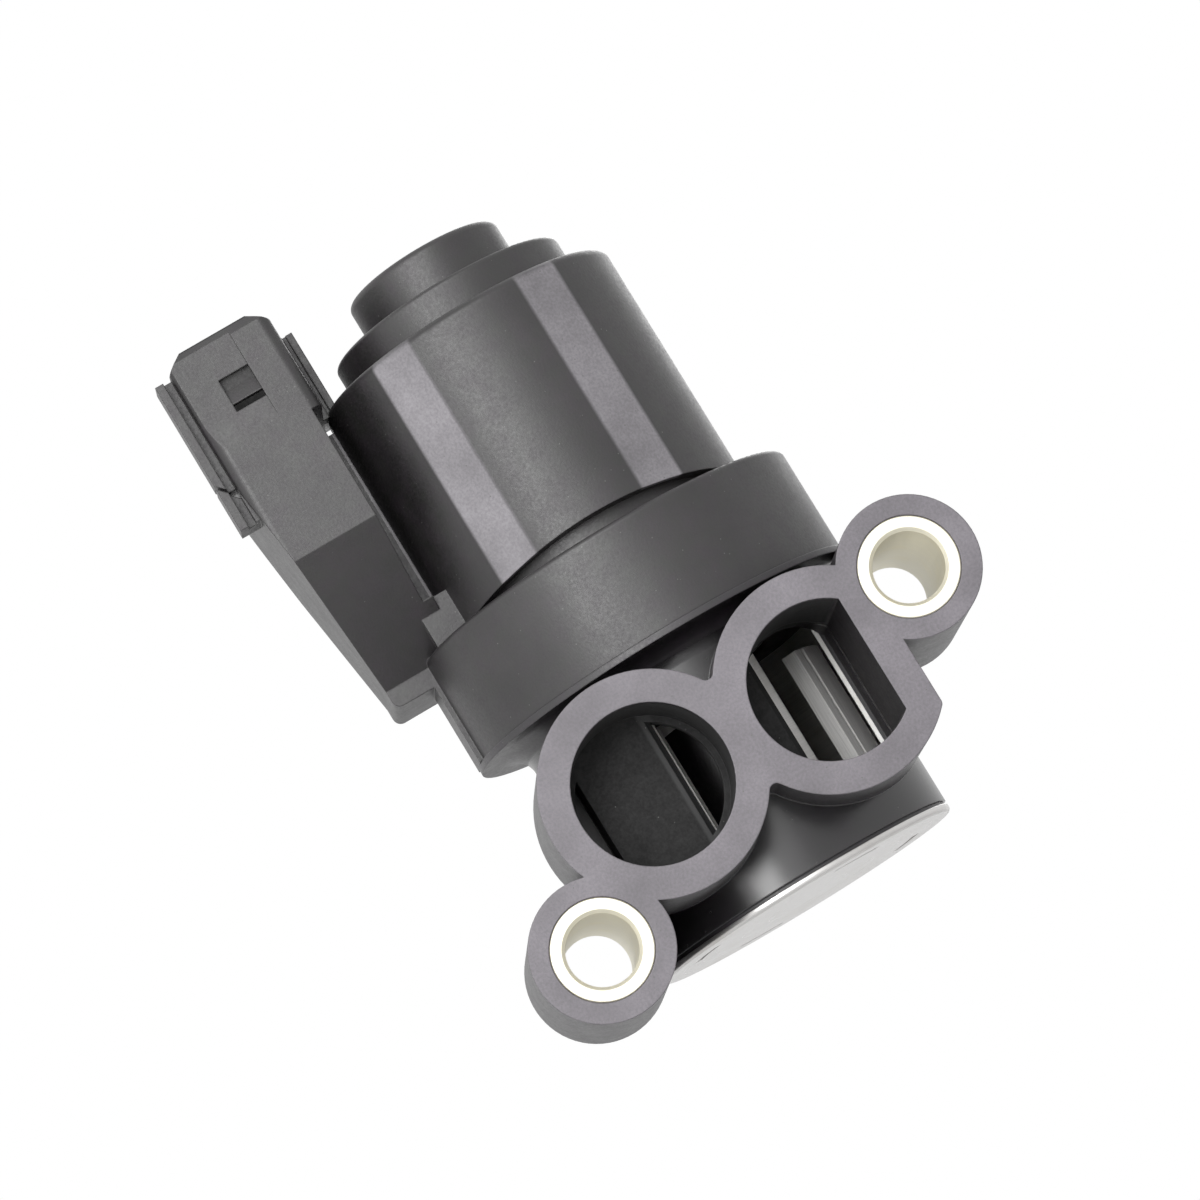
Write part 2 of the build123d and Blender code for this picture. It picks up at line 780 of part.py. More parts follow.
def opposite(piece):
    """The same piece, turned half round the motor axis."""
    return Pos(0, axis_y, 0) * Rot(0, 0, 180) * Pos(0, -axis_y, 0) * piece


def rotor_shaft():
    """The shaft, thinner where the upper bearing sits."""
    thin = upper_bearing_bore
    thick = lower_bearing_bore
    shoulder = upper_bearing_z - seat
    clip_low = slide_low - slide_clip_height
    face = outline((0, shaft_low), (thick - shaft_chamfer, shaft_low), (thick, shaft_low + shaft_chamfer),
                   (thick, shoulder), (thin, shoulder), (thin, shaft_top - shaft_chamfer),
                   (thin - shaft_chamfer, shaft_top), (0, shaft_top))
    shaft = turned(face)
    return shaft - ring(thick + 1, thick - 0.4, clip_low - seat, slide_low - seat)


def slide_clip():
    """The snap ring that holds the slide on the shaft."""
    low = slide_low - slide_clip_height
    clip = ring(slide_clip_radius, lower_bearing_bore - 0.37, low, slide_low - 2 * seat)
    return clip - block(-0.9, 0.9, axis_y, axis_y + 6, low - 1, slide_low + 1)


def rotor_magnet():
    """The magnet of the rotor."""
    return ring(magnet_radius, lower_bearing_bore + seat, magnet_low, magnet_low + magnet_height)


def magnet_stop(low):
    """A collar pressed on the shaft against the magnet."""
    return ring(magnet_stop_radius, lower_bearing_bore + seat, low, low + magnet_stop_height)


def slide_hub():
    """The moulded hub that holds the slide on the shaft, with a flange over the slide's disc."""
    hub = post(hub_radius, slide_low, slide_top)
    flange_low = slide_low + slide_web + seat
    hub += post(hub_flange, flange_low, flange_low + slide_web)
    return hub - post(lower_bearing_bore + seat, slide_low - 1, slide_top + 1)


def rotary_slide():
    """The die-cast slide: a disc and two curved walls that cover and open the ports."""
    slide = post(slide_disc_radius, slide_low, slide_low + slide_web)
    for first, last in (left_sector, right_sector):
        wall = ring(slide_radius, slide_radius - slide_wall, slide_low, slide_top)
        web = post(slide_radius, slide_low, slide_low + slide_web)
        slide += (wall + web) & wedge(first, last, slide_radius, slide_low - 1, slide_top + 1)
    slide -= post(hub_radius + seat, slide_low - 1, slide_top + 1)
    x, y = at_angle(groove_angle, slide_radius)
    groove = Box(groove_width, 2 * groove_depth, slide_top - slide_low + 2)
    return slide - Pos(x, y, (slide_low + slide_top) / 2) * Rot(0, 0, groove_angle) * groove


def main():
    parts = {
        "valve_body": valve_body(),
        "motor_housing": motor_housing(),
        "end_cap": end_cap(),
        "end_cap_seal": seal_ring(chamber_radius, cap_cord, body_low + cap_spigot_height / 2),
        "housing_seal": seal_ring(collar_radius - collar_wall, joint_cord, joint_groove_z),
        "upper_bolt_bush": bolt_bush(upper_bolt),
        "lower_bolt_bush": bolt_bush(lower_bolt),
        "bearing_plate": bearing_plate(),
        "shaft_seal": shaft_seal(),
        "bearing_clip": bearing_clip(),
        "wave_washer": wave_washer(),
        "flux_ring": flux_ring(),
        "opening_core": pole_core(),
        "closing_core": opposite(pole_core()),
        "opening_bobbin": bobbin(),
        "closing_bobbin": opposite(bobbin()),
        "opening_winding": winding(),
        "closing_winding": opposite(winding()),
        "rotor_shaft": rotor_shaft(),
        "rotor_magnet": rotor_magnet(),
        "lower_magnet_stop": magnet_stop(magnet_low - magnet_stop_height - seat),
        "upper_magnet_stop": magnet_stop(magnet_low + magnet_height + seat),
        "stop_lever": stop_lever(),
        "rotary_slide": rotary_slide(),
        "slide_hub": slide_hub(),
        "chamber_sleeve": chamber_sleeve(),
        "slide_clip": slide_clip(),
    }
    closed_angle, open_angle = stop_pin_angles()
    parts["closed_stop_pin"] = stop_pin(closed_angle)
    parts["open_stop_pin"] = stop_pin(open_angle)
    for index in range(terminal_count):
        parts[f"terminal_{index + 1}"] = terminal(index)
    lower = bearing_rings(lower_bearing_bore, lower_bearing_outer, lower_bearing_width, lower_bearing_z)
    upper = bearing_rings(upper_bearing_bore, upper_bearing_outer, upper_bearing_width, upper_bearing_z)
    for place, pieces in (("lower", lower), ("upper", upper)):
        for name, piece in zip(("outer_ring", "balls", "inner_ring"), pieces):
            parts[f"{place}_bearing_{name}"] = piece
    os.makedirs("parts", exist_ok=True)
    for name, piece in parts.items():
        export_step(piece, f"parts/{name}.step")


main()
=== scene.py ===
import json
import math

import bpy
import numpy as np
from mathutils import Matrix, Vector


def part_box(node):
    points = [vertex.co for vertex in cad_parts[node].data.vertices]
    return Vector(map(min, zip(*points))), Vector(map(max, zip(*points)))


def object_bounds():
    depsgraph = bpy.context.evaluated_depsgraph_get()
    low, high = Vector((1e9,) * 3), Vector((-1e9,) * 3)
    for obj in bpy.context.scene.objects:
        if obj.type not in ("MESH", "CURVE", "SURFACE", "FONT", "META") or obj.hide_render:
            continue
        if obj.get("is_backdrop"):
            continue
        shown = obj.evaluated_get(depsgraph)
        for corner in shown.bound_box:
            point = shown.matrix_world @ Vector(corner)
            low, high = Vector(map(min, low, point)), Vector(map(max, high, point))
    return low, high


bl_info = {
    "name": "Idle air valve finish",
    "version": (1, 0, 0),
    "blender": (4, 5, 0),
    "location": "View3D > Sidebar > Idle Valve",
    "description": "Finishes and stages an idle air control valve on its packed frame",
    "category": "Object",
}

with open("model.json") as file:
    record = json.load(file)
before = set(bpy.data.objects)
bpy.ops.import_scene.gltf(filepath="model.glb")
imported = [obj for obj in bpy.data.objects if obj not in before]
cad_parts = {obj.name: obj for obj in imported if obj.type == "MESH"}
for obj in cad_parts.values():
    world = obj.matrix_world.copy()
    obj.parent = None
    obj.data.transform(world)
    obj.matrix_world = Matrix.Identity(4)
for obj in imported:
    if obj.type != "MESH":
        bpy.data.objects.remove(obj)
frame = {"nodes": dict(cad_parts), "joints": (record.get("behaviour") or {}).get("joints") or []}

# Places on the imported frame, in metres
MOTOR_AXIS = tuple(frame["joints"][0]["pos_m"])
UPPER_BOLT = tuple((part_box("upper_bolt_bush")[0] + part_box("upper_bolt_bush")[1]) / 2)
LOWER_BOLT = tuple((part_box("lower_bolt_bush")[0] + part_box("lower_bolt_bush")[1]) / 2)
PORT_OFFSET = 0.00976

# Where a mask starts on the mouldings (a finish, the flats' partly painted sheen, or painted shade in the
# ports and socket): the value where its mask is 0, then where it is 1, in metres
FLAT_LOW = (0.0240, 0.0244)
FLAT_HIGH = (0.0508, 0.0500)
PORT_SIDE = (0.0083, 0.0080)
PORT_FLAT = (0.0145, 0.0142)
SOCKET_FLOOR = (0.0418, 0.0422)
FACE_SKIN = (0.0002, 0.0001)

# Where a mask lies on the mouldings (a finish, the flats' partly painted sheen, or painted shade in the
# ports and socket): from and to, in metres, and the width of a sharp end
FLAT_SKIN = (0.0156, 0.0168)
PORT_DEPTH = (0.0009, 0.0135)
BODY_SKIN = (0.0164, 0.0168)
SOCKET_WIDTH = (-0.0272, -0.0180)
SOCKET_DEPTH = (0.0125, 0.0333)
SHARP = 0.0001

# The barrel's flats: how many, their turn, and where the mask is 0 and 1 from a flat's middle, in degrees
BARREL_FLATS = 6
FLAT_TURN = 3.0
FLAT_SIDE = (9.4, 7.6)

# Textures: sizes measured in grains or in line widths, and the stretch that draws lines out along Z
FLOW_GRAINS = 22.0
TINT_GRAINS = 7.0
CELLS_PER_GRAIN = 1.3
STAIN_LINES = 30.0
PITS_PER_LINE = 0.25
DRAWN_OUT = (1.0, 1.0, 0.03)
EDGE_CONTRAST = 4.0

# Textures: widths and depths in metres
METAL_EDGE = 0.00012
METAL_LINE = 0.00012
METAL_DEPTH = 0.000006
FINE_DEPTH = 0.00001

# The stage: the glow's range of direction, the floor's fade, and each soft box's place and width
GLOW_RANGE = (-0.7, 0.5)
FLOOR_FADE = (0.20, 0.75)
FLOOR_STEPS = 9
FLOOR_LIGHT = 0.25
SOFT_BOXES = {
    "key": ((-0.12, -0.54, 0.25), 0.42),
    "front": ((-0.26, -0.56, 0.03), 0.20),
    "side": ((-0.60, -0.30, 0.10), 0.30),
    "rear": ((0.30, 0.62, 0.30), 0.42),
}
UPRIGHT = (math.radians(90.0), 0.0, 0.0)
VALUE = "NodeSocketFloat"
VECTOR = "NodeSocketVector"

# Pieces that share a finish
SEALS = ("end_cap_seal", "housing_seal", "shaft_seal")
BUSHES = {"upper_bolt_bush": UPPER_BOLT, "lower_bolt_bush": LOWER_BOLT}
SPRINGS = ("bearing_clip", "wave_washer", "slide_clip")
IRONS = ("flux_ring", "opening_core", "closing_core")
BOBBINS = ("opening_bobbin", "closing_bobbin")
WINDINGS = ("opening_winding", "closing_winding")
GROUND_STEELS = ("rotor_shaft", "stop_lever", "closed_stop_pin", "open_stop_pin")
MAGNET_STOPS = ("lower_magnet_stop", "upper_magnet_stop")
TERMINALS = ("terminal_1", "terminal_2", "terminal_3")
BEARINGS = (
    "lower_bearing_outer_ring", "lower_bearing_balls", "lower_bearing_inner_ring",
    "upper_bearing_outer_ring", "upper_bearing_balls", "upper_bearing_inner_ring",
)


def colour(name, description, default):
    """A colour that the user can change."""
    return bpy.props.FloatVectorProperty(
        name=name, description=description, default=default, subtype="COLOR", size=3, min=0.0, max=1.0
    )


def share(name, description, default):
    """A share from 0 to 1 that the user can change."""
    return bpy.props.FloatProperty(name=name, description=description, default=default, min=0.0, max=1.0)


def length(name, description, default):
    """A length in metres that the user can change."""
    return bpy.props.FloatProperty(
        name=name, description=description, default=default, unit="LENGTH", precision=5
    )


def turn(name, description, default):
    """An angle, stated in degrees, that the user can change."""
    angle = math.radians(default)
    return bpy.props.FloatProperty(name=name, description=description, default=angle, subtype="ANGLE")


def level(name, description, default):
    """A light level that the user can change."""
    return bpy.props.FloatProperty(name=name, description=description, default=default, min=0.0)


class ValvePlastics(bpy.types.PropertyGroup):
    """Colours and finish of the moulded plastics."""

    housing: colour("Housing", "Motor housing and connector", (0.0150, 0.0148, 0.0140))
    body: colour("Body", "Valve body", (0.019, 0.018, 0.019))
    face: colour("Mounting face", "Ground mounting face of the valve body", (0.215, 0.198, 0.220))
    hub: colour("Slide hub", "Hub that holds the slide on the shaft", (0.012, 0.012, 0.012))
    bobbin: colour("Bobbins", "Natural nylon of the coil bobbins", (0.62, 0.58, 0.48))
    # The flats' light tone is partly their smoother finish and partly a painted sheen.
    flats: colour("Barrel flats", "Smoother flats on the motor barrel", (0.285, 0.270, 0.290))
    speck: colour("Specks", "Light mineral specks in the surface", (0.11, 0.11, 0.105))
    roughness: share("Roughness", "Roughness of the moulded skin", 0.46)
    sheen: share("Sheen", "Strength of the moulded skin's reflection", 0.80)
    grain: length("Grain", "Width of one grain of the moulded texture", 0.00028)
    grain_depth: length("Grain depth", "Depth of the moulded texture", 0.000012)
    edge_round: length("Edge round", "Width of the rounding on sharp moulded edges", 0.00018)


class ValveMetals(bpy.types.PropertyGroup):
    """Colours and finish of the metals."""

    bush: colour("Bushes", "Plated steel of the bolt bushes", (0.83, 0.80, 0.68))
    slide: colour("Slide", "Die-cast aluminium of the rotary slide", (0.92, 0.91, 0.89))
    sleeve: colour("Sleeve", "Bright steel that lines the slide chamber", (0.80, 0.79, 0.77))
    cap: colour("End cap", "Plated steel of the pressed end cap", (0.62, 0.61, 0.60))
    plate: colour("Plate", "Aluminium of the bearing plate", (0.66, 0.66, 0.65))
    spring: colour("Spring steel", "Clips and washer", (0.34, 0.35, 0.38))
    iron: colour("Soft iron", "Flux ring and pole cores", (0.30, 0.30, 0.31))
    steel: colour("Ground steel", "Shaft, pins and lever", (0.58, 0.58, 0.58))
    bearing: colour("Bearing steel", "Rings and balls", (0.66, 0.66, 0.66))
    copper: colour("Copper wire", "Enamelled winding wire", (0.70, 0.30, 0.12))
    magnet: colour("Magnet", "Sintered ferrite", (0.045, 0.043, 0.045))
    terminal: colour("Terminals", "Tinned brass", (0.76, 0.74, 0.68))


class ValveStage(bpy.types.PropertyGroup):
    """Camera, floor and lights."""

    azimuth: turn("Azimuth", "Camera's turn about Z from the -Y side", -6.67)
    elevation: turn("Elevation", "Camera's height angle", -7.76)
    roll: turn("Roll", "Camera's roll", -31.42)
    distance: length("Distance", "Camera to target", 0.4941)
    target: bpy.props.FloatVectorProperty(
        name="Target", description="Point at the centre of the picture", default=(-0.00495, 0.0, 0.01768),
        subtype="TRANSLATION", unit="LENGTH", precision=5
    )
    lens: bpy.props.FloatProperty(
        name="Lens", description="Focal length on a 36 mm sensor", default=155.93, unit="CAMERA"
    )
    floor_height: length("Floor height", "Height of the floor, below the camera", -0.105)
    floor_half: length("Floor half width", "Half the width of the floor", 0.9)
    floor: colour("Floor", "Floor colour", (0.86, 0.86, 0.86))
    front_glow: level("Front glow", "Plain light from the front", 0.06)
    rear_glow: level("Rear glow", "Plain light from behind", 1.0)
    key: level("Key", "Brightness of the upper soft box", 4.1)
    front: level("Front", "Brightness of the small soft box beside the camera", 7.2)
    side: level("Side", "Brightness of the side soft box", 0.8)
    rear: level("Rear", "Brightness of the rear soft box", 2.5)


def add_node(tree, kind, inputs=None, **options):
    """Adds a shader node, sets its options, and sets or links its inputs by name or number."""
    node = tree.nodes.new(kind)
    for name, value in options.items():
        setattr(node, name, value)
    for name, value in (inputs or {}).items():
        if isinstance(value, bpy.types.NodeSocket):
            tree.links.new(value, node.inputs[name])
        else:
            node.inputs[name].default_value = value
    return node


def maths(tree, operation, *values, clamp=False):
    """The output of one Math node."""
    node = add_node(tree, "ShaderNodeMath", dict(enumerate(values)), operation=operation, use_clamp=clamp)
    return node.outputs[0]


def ramp(tree, value, low, high, start=0.0, end=1.0, smooth=False):
    """Maps a value from low..high to start..end, clamped."""
    kind = "SMOOTHSTEP" if smooth else "LINEAR"
    inputs = {"Value": value, "From Min": low, "From Max": high, "To Min": start, "To Max": end}
    return add_node(tree, "ShaderNodeMapRange", inputs, interpolation_type=kind).outputs[0]


def mix_colour(tree, factor, first, second, blend="MIX"):
    """The output of one Mix node on colours."""
    node = add_node(tree, "ShaderNodeMix", data_type="RGBA", blend_type=blend)
    for number, value in ((0, factor), (6, first), (7, second)):
        if isinstance(value, bpy.types.NodeSocket):
            tree.links.new(value, node.inputs[number])
        elif number == 0:
            node.inputs[0].default_value = value
        else:
            node.inputs[number].default_value = (*value, 1.0)
    return node.outputs[2]


def times(tree, first, second):
    """The product of two values."""
    return maths(tree, "MULTIPLY", first, second)


def noise(tree, vector, scale, detail, **more):
    """The value of one Noise Texture node."""
    inputs = {"Vector": vector, "Scale": scale, "Detail": detail, **more}
    return add_node(tree, "ShaderNodeTexNoise", inputs).outputs[0]


def split(tree, vector):
    """The three parts of a vector."""
    return add_node(tree, "ShaderNodeSeparateXYZ", {"Vector": vector}).outputs


def reach(tree, first, second):
    """The length of two parts of a vector, squared."""
    return maths(tree, "ADD", times(tree, first, first), times(tree, second, second))


def dot(tree, first, second):
    """The dot product of two vectors."""
    node = add_node(tree, "ShaderNodeVectorMath", {0: first, 1: second}, operation="DOT_PRODUCT")
    return node.outputs["Value"]


def scaled(tone, factor):
    """A tone times a factor."""
    return tuple(factor * part for part in tone)


def new_group(name, inputs, outputs):
    """An empty shader node group with named inputs (name, default) and outputs (name, kind)."""
    tree = bpy.data.node_groups.new(name, "ShaderNodeTree")
    for label, default in inputs:
        kind = VECTOR if default is None else VALUE
        socket = tree.interface.new_socket(label, in_out="INPUT", socket_type=kind)
        if default is not None:
            socket.default_value = default
    for label, kind in outputs:
        tree.interface.new_socket(label, in_out="OUTPUT", socket_type=kind)
    return tree, tree.nodes.new("NodeGroupInput").outputs, tree.nodes.new("NodeGroupOutput").inputs


def moulded_skin_group():
    """Fine moulded texture: small noise for grain, middle for tint, wide for flow marks, and rare specks."""
    tree, given, result = new_group(
        "Moulded skin",
        [("Vector", None), ("Grain Size", 0.0003), ("Speck Share", 0.02)],
        [("Grain", VALUE), ("Flow", VALUE), ("Tint", VALUE), ("Specks", VALUE)],
    )
    place = given["Vector"]
    fine = maths(tree, "DIVIDE", 1.0, given["Grain Size"])
    wide = maths(tree, "DIVIDE", fine, FLOW_GRAINS)
    patch = maths(tree, "DIVIDE", fine, TINT_GRAINS)
    tree.links.new(noise(tree, place, fine, 2.0, Roughness=0.6), result["Grain"])
    tree.links.new(noise(tree, place, wide, 3.0, Roughness=0.55), result["Flow"])
    tree.links.new(noise(tree, place, patch, 4.0, Roughness=0.65), result["Tint"])
    cells = times(tree, fine, CELLS_PER_GRAIN)
    spots = add_node(tree, "ShaderNodeTexVoronoi", {"Vector": place, "Scale": cells}).outputs
    draw = add_node(tree, "ShaderNodeSeparateColor", {"Color": spots["Color"]}).outputs[0]
    chosen = maths(tree, "GREATER_THAN", draw, maths(tree, "SUBTRACT", 1.0, given["Speck Share"]))
    near = ramp(tree, spots["Distance"], 0.42, 0.12)
    tree.links.new(times(tree, chosen, near), result["Specks"])
    return tree


def edge_group():
    """Where two faces meet: the rounded normal across the edge, and a mask that is 1 on it."""
    tree, given, result = new_group(
        "Rounded edges", [("Radius", 0.0002), ("Contrast", 6.0)], [("Mask", VALUE), ("Normal", VECTOR)]
    )
    bevel = add_node(tree, "ShaderNodeBevel", {"Radius": given["Radius"]}, samples=6)
    flat = add_node(tree, "ShaderNodeNewGeometry").outputs["Normal"]
    bend = maths(tree, "SUBTRACT", 1.0, dot(tree, bevel.outputs[0], flat))
    tree.links.new(maths(tree, "MULTIPLY", bend, given["Contrast"], clamp=True), result["Mask"])
    tree.links.new(bevel.outputs[0], result["Normal"])
    return tree


def turned_group():
    """Fine lines left by turning: a noise of the distance from the Z axis and of the height alone."""
    tree, given, result = new_group(
        "Turned lines", [("Vector", None), ("Line Width", METAL_LINE)], [("Lines", VALUE), ("Stain", VALUE)]
    )
    part = split(tree, given["Vector"])
    away = maths(tree, "SQRT", reach(tree, part[0], part[1]))
    place = add_node(tree, "ShaderNodeCombineXYZ", {"X": away, "Y": part[2]}).outputs[0]
    fine = maths(tree, "DIVIDE", 1.0, given["Line Width"])
    wide = maths(tree, "DIVIDE", fine, STAIN_LINES)
    tree.links.new(noise(tree, place, fine, 2.0), result["Lines"])
    tree.links.new(noise(tree, given["Vector"], wide, 4.0), result["Stain"])
    return tree


def brushed_group():
    """Straight brushed or stamped lines: a noise drawn out along the Z axis, with casting pits."""
    tree, given, result = new_group(
        "Brushed lines", [("Vector", None), ("Line Width", 0.0001)], [("Lines", VALUE), ("Pits", VALUE)]
    )
    stretch = {0: given["Vector"], 1: DRAWN_OUT}
    drawn = add_node(tree, "ShaderNodeVectorMath", stretch, operation="MULTIPLY").outputs[0]
    fine = maths(tree, "DIVIDE", 1.0, given["Line Width"])
    pits = noise(tree, given["Vector"], times(tree, fine, PITS_PER_LINE), 5.0)
    tree.links.new(noise(tree, drawn, fine, 2.0), result["Lines"])
    tree.links.new(ramp(tree, pits, 0.62, 0.75), result["Pits"])
    return tree


def place_group(tree, name, builder, **inputs):
    """Places a node group, built the first time, in a material, with its inputs set or linked."""
    node = tree.nodes.new("ShaderNodeGroup")
    node.node_tree = bpy.data.node_groups.get(name) or builder()
    for label, value in inputs.items():
        label = label.replace("_", " ")
        if isinstance(value, bpy.types.NodeSocket):
            tree.links.new(value, node.inputs[label])
        else:
            node.inputs[label].default_value = value
    return node.outputs


def new_material(name):
    """An empty material with its shader joined to the output."""
    material = bpy.data.materials.new(name)
    material.use_nodes = True
    tree = material.node_tree
    tree.nodes.clear()
    shader = tree.nodes.new("ShaderNodeBsdfPrincipled")
    surface = tree.nodes.new("ShaderNodeOutputMaterial")
    tree.links.new(shader.outputs[0], surface.inputs["Surface"])
    return material, tree, shader


def object_place(tree, centre=(0.0, 0.0, 0.0), tilt=(0.0, 0.0, 0.0)):
    """Object coordinates, measured from a centre and turned so that the piece's axis lies along Z."""
    start = add_node(tree, "ShaderNodeTexCoord").outputs["Object"]
    inputs = {"Vector": start, "Location": centre, "Rotation": tilt}
    return add_node(tree, "ShaderNodeMapping", inputs, vector_type="TEXTURE").outputs[0]


def raised(tree, shader, height, distance, normal=None):
    """Feeds a height into the shader's normal, over a rounded normal where there is one."""
    bump = add_node(tree, "ShaderNodeBump", {"Height": height, "Strength": 1.0, "Distance": distance})
    if normal is not None:
        tree.links.new(normal, bump.inputs["Normal"])
    tree.links.new(bump.outputs[0], shader.inputs["Normal"])


def flat_mask(tree, place):
    """1 on the barrel's flats: within half a flat's angle of each one's middle, on the barrel's height."""
    part = split(tree, place)
    angle = maths(tree, "ARCTAN2", part[0], times(tree, part[1], -1.0))
    step = math.radians(360.0 / BARREL_FLATS)
    shifted = maths(tree, "ADD", angle, math.radians(FLAT_TURN) + 4.0 * step)
    apart = maths(tree, "ABSOLUTE", maths(tree, "SUBTRACT", maths(tree, "MODULO", shifted, step), step / 2))
    across = ramp(tree, apart, *map(math.radians, FLAT_SIDE), smooth=True)
    square = reach(tree, part[0], part[1])
    skin = maths(tree, "GREATER_THAN", square, FLAT_SKIN[0] ** 2)
    outside = maths(tree, "LESS_THAN", square, FLAT_SKIN[1] ** 2)
    height = times(tree, ramp(tree, part[2], *FLAT_LOW), ramp(tree, part[2], *FLAT_HIGH))
    return times(tree, across, times(tree, height, times(tree, skin, outside)))


def within(tree, value, low, high, soft=0.0003):
    """1 where the value lies from low to high, with soft ends."""
    return times(tree, ramp(tree, value, low - soft, low), ramp(tree, value, high + soft, high))


def away_from(tree, first, second, centre):
    """The distance of two coordinates from a centre."""
    one = maths(tree, "SUBTRACT", first, centre[0])
    two = maths(tree, "SUBTRACT", second, centre[1])
    return maths(tree, "SQRT", reach(tree, one, two))


def place_parts(tree):
    """The three Object coordinates."""
    return split(tree, add_node(tree, "ShaderNodeTexCoord").outputs["Object"])


def painted_port_shade_mask(tree):
    """1 inside the two ports, where a painted shade darkens the bores: in either bore, behind the mounting
    face.
    """
    x, y, z = place_parts(tree)
    left = ramp(tree, away_from(tree, x, z, (-PORT_OFFSET, 0.0)), *PORT_SIDE)
    right = ramp(tree, away_from(tree, x, z, (PORT_OFFSET, 0.0)), *PORT_SIDE)
    right = times(tree, right, ramp(tree, x, *PORT_FLAT))
    return times(tree, within(tree, y, *PORT_DEPTH), maths(tree, "MAXIMUM", left, right))


def barrel_mask(tree):
    """1 on the body's own round wall, which left its mould glossy."""
    x, y, _ = place_parts(tree)
    return within(tree, away_from(tree, x, y, MOTOR_AXIS[:2]), *BODY_SKIN, SHARP)


def painted_socket_shade_mask(tree):
    """1 inside the connector's socket and in its latch window, where a painted shade darkens the housing."""
    x, y, z = place_parts(tree)
    across = times(tree, within(tree, x, *SOCKET_WIDTH), within(tree, y, *SOCKET_DEPTH, SHARP))
    return times(tree, across, ramp(tree, z, *SOCKET_FLOOR))


def mottled(tree, skin, tone):
    """A lighter tone that varies with the flow marks and the grain: the ground mounting face, and the
    barrel's flats, where it is partly a painted sheen.
    """
    cloud = ramp(tree, skin["Flow"], 0.30, 0.70)
    cloud = mix_colour(tree, cloud, scaled(tone, 0.74), scaled(tone, 1.16))
    grain = ramp(tree, skin["Grain"], 0.35, 0.65, 0.86, 1.12)
    grey = add_node(tree, "ShaderNodeCombineColor", {0: grain, 1: grain, 2: grain}).outputs[0]
    return mix_colour(tree, 1.0, cloud, grey, "MULTIPLY")


def surfaced(tree, shader, base, rough):
    """Feeds the colour and the roughness into the shader."""
    tree.links.new(base, shader.inputs["Base Color"])
    tree.links.new(rough, shader.inputs["Roughness"])


def moulded_skin(tree, place, grain, specks):
    """Places the moulded texture."""
    inputs = {"Vector": place, "Grain_Size": grain, "Speck_Share": specks}
    return place_group(tree, "Moulded skin", moulded_skin_group, **inputs)


def rounded_edges(tree, radius):
    """Places the rounded edges."""
    return place_group(tree, "Rounded edges", edge_group, Radius=radius, Contrast=EDGE_CONTRAST)


def plastic(name, tone, sizes, roughness, speck_share=0.006, flats=None, face=None):
    """Moulded glass-filled plastic: fine grain, flow marks, light specks, and softly rounded edges with a
    painted highlight on them.
    """
    material, tree, shader = new_material(name)
    place = object_place(tree, centre=MOTOR_AXIS)
    skin = moulded_skin(tree, place, sizes.grain, speck_share)
    edge = rounded_edges(tree, sizes.edge_round)
    light = tuple(min(1.0, part) for part in scaled(tone, 1.35))
    base = mix_colour(tree, ramp(tree, skin["Flow"], 0.35, 0.65), scaled(tone, 0.72), light)
    violet = mix_colour(tree, 1.0, base, (1.15, 0.92, 1.20), "MULTIPLY")
    base = mix_colour(tree, ramp(tree, skin["Tint"], 0.35, 0.65), base, violet)
    rough = ramp(tree, skin["Grain"], 0.3, 0.7, roughness - 0.05, roughness + 0.06)
    rough = maths(tree, "ADD", rough, ramp(tree, skin["Tint"], 0.3, 0.7, -0.035, 0.035))
    # A darker copy of the tone: painted shade in the socket and the ports, and the darker glossy skin of the
    # body's round wall.
    painted_shade_and_dark_skin = scaled(tone, 0.25)
    height = skin["Grain"]
    if flats is not None:
        # The flats get a lighter, smoother tone: partly their own finish, partly a painted sheen.
        mask = flat_mask(tree, place)
        base = mix_colour(tree, mask, base, mottled(tree, skin, flats))
        rough = maths(tree, "SUBTRACT", rough, times(tree, mask, 0.10))
        # Painted shade: the socket and its latch window are darkened, and made rougher, where shade falls in
        # them.
        mask = painted_socket_shade_mask(tree)
        base = mix_colour(tree, mask, base, painted_shade_and_dark_skin)
        rough = maths(tree, "ADD", rough, times(tree, mask, 0.40), clamp=True)
    if face is not None:
        mask = barrel_mask(tree)
        base = mix_colour(tree, times(tree, mask, 0.6), base, painted_shade_and_dark_skin)
        rough = ramp(tree, mask, 0.0, 1.0, rough, roughness - 0.18)
        height = times(tree, height, maths(tree, "SUBTRACT", 1.0, mask))
        # Painted shade: the port bores are darkened, and made rougher, where shade falls in them.
        mask = painted_port_shade_mask(tree)
        base = mix_colour(tree, mask, base, painted_shade_and_dark_skin)
        rough = maths(tree, "ADD", rough, times(tree, mask, 0.40), clamp=True)
        front = ramp(tree, place_parts(tree)[1], *FACE_SKIN)
        base = mix_colour(tree, front, base, mottled(tree, skin, face))
    # Painted highlight: a lighter tone on the edges that the Bevel mask finds, convex and concave alike.
    painted_edge_highlight = tuple(2.2 * part + 0.03 for part in tone)
    base = mix_colour(tree, times(tree, edge["Mask"], 0.55), base, painted_edge_highlight)
    base = mix_colour(tree, skin["Specks"], base, tuple(sizes.speck))
    surfaced(tree, shader, base, rough)
    shader.inputs["Specular IOR Level"].default_value = sizes.sheen
    raised(tree, shader, height, sizes.grain_depth, edge["Normal"])
    return material


def metal(tree, shader, base, lines, roughness, metallic):
    """What the metals share: a roughness that follows the lines, the lines' height, and rounded edges."""
    surfaced(tree, shader, base, ramp(tree, lines, 0.3, 0.7, roughness - 0.06, roughness + 0.08))
    shader.inputs["Metallic"].default_value = metallic
    raised(tree, shader, lines, METAL_DEPTH, rounded_edges(tree, METAL_EDGE)["Normal"])


